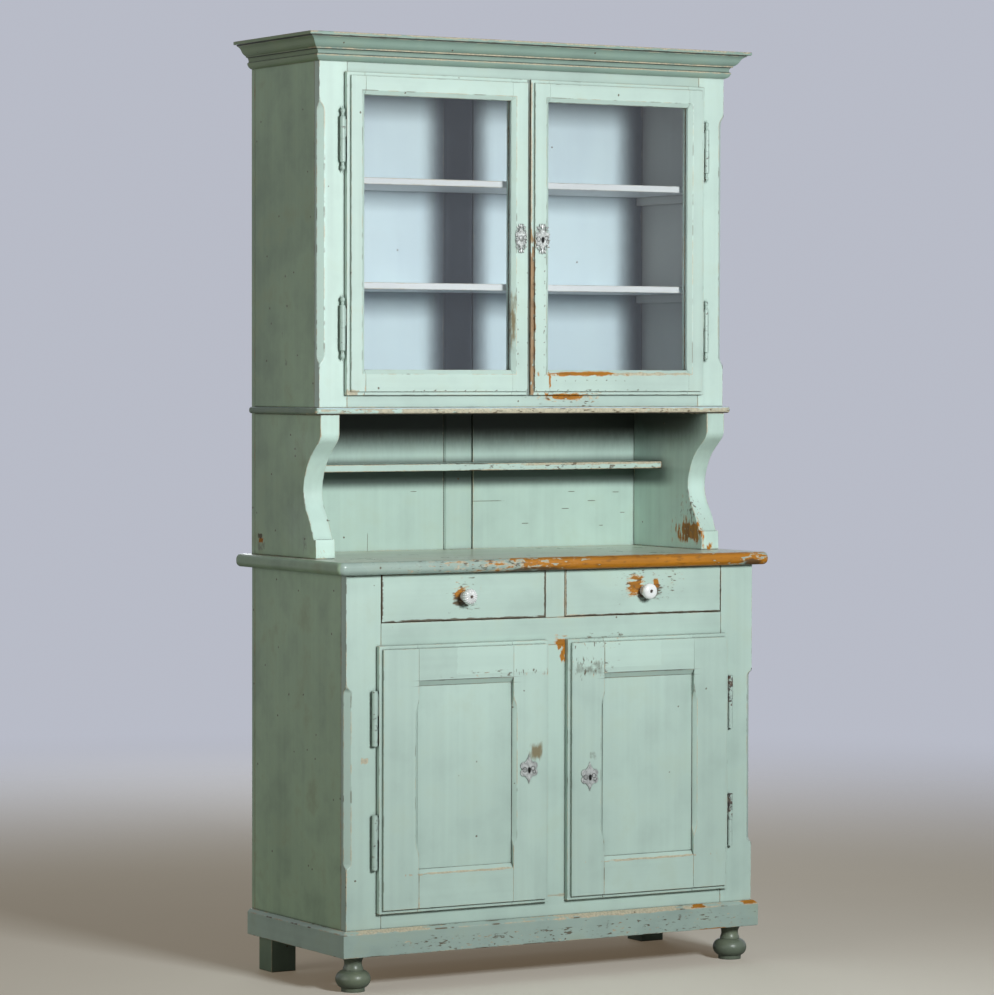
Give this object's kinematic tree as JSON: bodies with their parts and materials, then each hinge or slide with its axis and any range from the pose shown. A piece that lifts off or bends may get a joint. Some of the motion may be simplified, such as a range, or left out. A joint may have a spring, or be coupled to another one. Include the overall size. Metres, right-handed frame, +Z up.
{
  "type": "buffet",
  "caption": "Painted two-stage buffet: glazed upper cupboard over an open niche, drawers, panelled doors and bun feet; doors swing, drawers slide.",
  "frame": {"origin": "on the floor, in the middle of the outline's width and depth", "axes": "+Z up, +X to the right seen from the front, -Y out of the front"},
  "size_m": [1.088, 0.4682, 1.969],
  "materials": {
    "green_paint": "worn mint-green paint",
    "pale_paint": "pale paint",
    "bare_pine": "bare aged pine",
    "glass": "clear old glass",
    "hinge_iron": "iron painted over with the case",
    "silvered_plate": "tarnished silvered sheet",
    "lock_iron": "dark iron",
    "porcelain": "white glaze"
  },
  "bodies": {
    "cabinet": {"back_frame": "green_paint", "back_panels": "green_paint", "base_back_boards": "bare_pine", "base_centre_stile": "green_paint", "base_floor": "bare_pine", "base_rails": "green_paint", "base_shelf": "bare_pine", "base_sides": "green_paint", "base_stiles": "green_paint", "bun_feet": "green_paint", "corner_blocks": "bare_pine", "cornice": "green_paint", "drawer_divider": "green_paint", "drawer_runners": "bare_pine", "lower_hinge_pintles": "hinge_iron", "niche_brackets": "green_paint", "niche_shelf": "green_paint", "plinth": "green_paint", "rear_legs": "green_paint", "shelf_cleats": "pale_paint", "top_board": "green_paint", "upper_floor": "green_paint", "upper_hinge_pintles": "hinge_iron", "upper_rails": "green_paint", "upper_shelves": "pale_paint", "upper_sides": "green_paint", "upper_stiles": "green_paint", "worktop": "green_paint"},
    "upper_left_door": {"upper_left_door_frame": "green_paint", "upper_left_door_glass": "glass", "upper_left_glazing_beads": "green_paint", "upper_left_hinge_sockets": "hinge_iron", "upper_left_key_plate": "silvered_plate", "upper_left_bolt_guide": "lock_iron"},
    "upper_right_door": {"upper_right_door_frame": "green_paint", "upper_right_door_glass": "glass", "upper_right_glazing_beads": "green_paint", "upper_right_hinge_sockets": "hinge_iron", "upper_right_key_plate": "silvered_plate", "upper_right_lock_case": "lock_iron"},
    "lower_left_door": {"lower_left_door_frame": "green_paint", "lower_left_door_panel": "green_paint", "lower_left_hinge_sockets": "hinge_iron", "lower_left_key_plate": "silvered_plate", "lower_left_lock_case": "lock_iron"},
    "lower_right_door": {"lower_right_door_frame": "green_paint", "lower_right_door_panel": "green_paint", "lower_right_hinge_sockets": "hinge_iron", "lower_right_key_plate": "silvered_plate", "lower_right_lock_case": "lock_iron"},
    "left_drawer": {"left_drawer_front": "green_paint", "left_drawer_box": "bare_pine", "left_drawer_knob": "porcelain"},
    "right_drawer": {"right_drawer_front": "green_paint", "right_drawer_box": "bare_pine", "right_drawer_knob": "porcelain"},
    "upper_left_bolt": {"upper_left_bolt": "lock_iron"},
    "upper_right_lock_bolt": {"upper_right_lock_bolt": "lock_iron"},
    "lower_left_lock_bolt": {"lower_left_lock_bolt": "lock_iron"},
    "lower_right_lock_bolt": {"lower_right_lock_bolt": "lock_iron"}
  },
  "joints": [
    {"name": "lower_left_door_swing", "type": "hinge", "parent": "cabinet", "child": "lower_left_door", "pos_m": [-0.4378, -0.2092, 0.4355], "axis": [0, 0, -1], "range_deg": [0, 160]},
    {"name": "lower_right_door_swing", "type": "hinge", "parent": "cabinet", "child": "lower_right_door", "pos_m": [0.4378, -0.2092, 0.4355], "axis": [0, 0, 1], "range_deg": [0, 160]},
    {"name": "upper_left_door_swing", "type": "hinge", "parent": "cabinet", "child": "upper_left_door", "pos_m": [-0.4498, -0.0922, 1.5575], "axis": [0, 0, -1], "range_deg": [0, 160]},
    {"name": "upper_right_door_swing", "type": "hinge", "parent": "cabinet", "child": "upper_right_door", "pos_m": [0.4498, -0.0922, 1.5575], "axis": [0, 0, 1], "range_deg": [0, 160]},
    {"name": "left_drawer_slide", "type": "slide", "parent": "cabinet", "child": "left_drawer", "axis": [0, -1, 0], "range_m": [0, 0.3]},
    {"name": "right_drawer_slide", "type": "slide", "parent": "cabinet", "child": "right_drawer", "axis": [0, -1, 0], "range_m": [0, 0.3]},
    {"name": "upper_right_lock_throw", "type": "slide", "parent": "upper_right_door", "child": "upper_right_lock_bolt", "axis": [-1, 0, 0], "range_m": [0, 0.009]},
    {"name": "lower_left_lock_throw", "type": "slide", "parent": "lower_left_door", "child": "lower_left_lock_bolt", "axis": [1, 0, 0], "range_m": [0, 0.009]},
    {"name": "lower_right_lock_throw", "type": "slide", "parent": "lower_right_door", "child": "lower_right_lock_bolt", "axis": [-1, 0, 0], "range_m": [0, 0.009]},
    {"name": "upper_left_bolt_throw", "type": "slide", "parent": "upper_left_door", "child": "upper_left_bolt", "axis": [0, 0, 1], "range_m": [0, 0.014]}
  ]
}
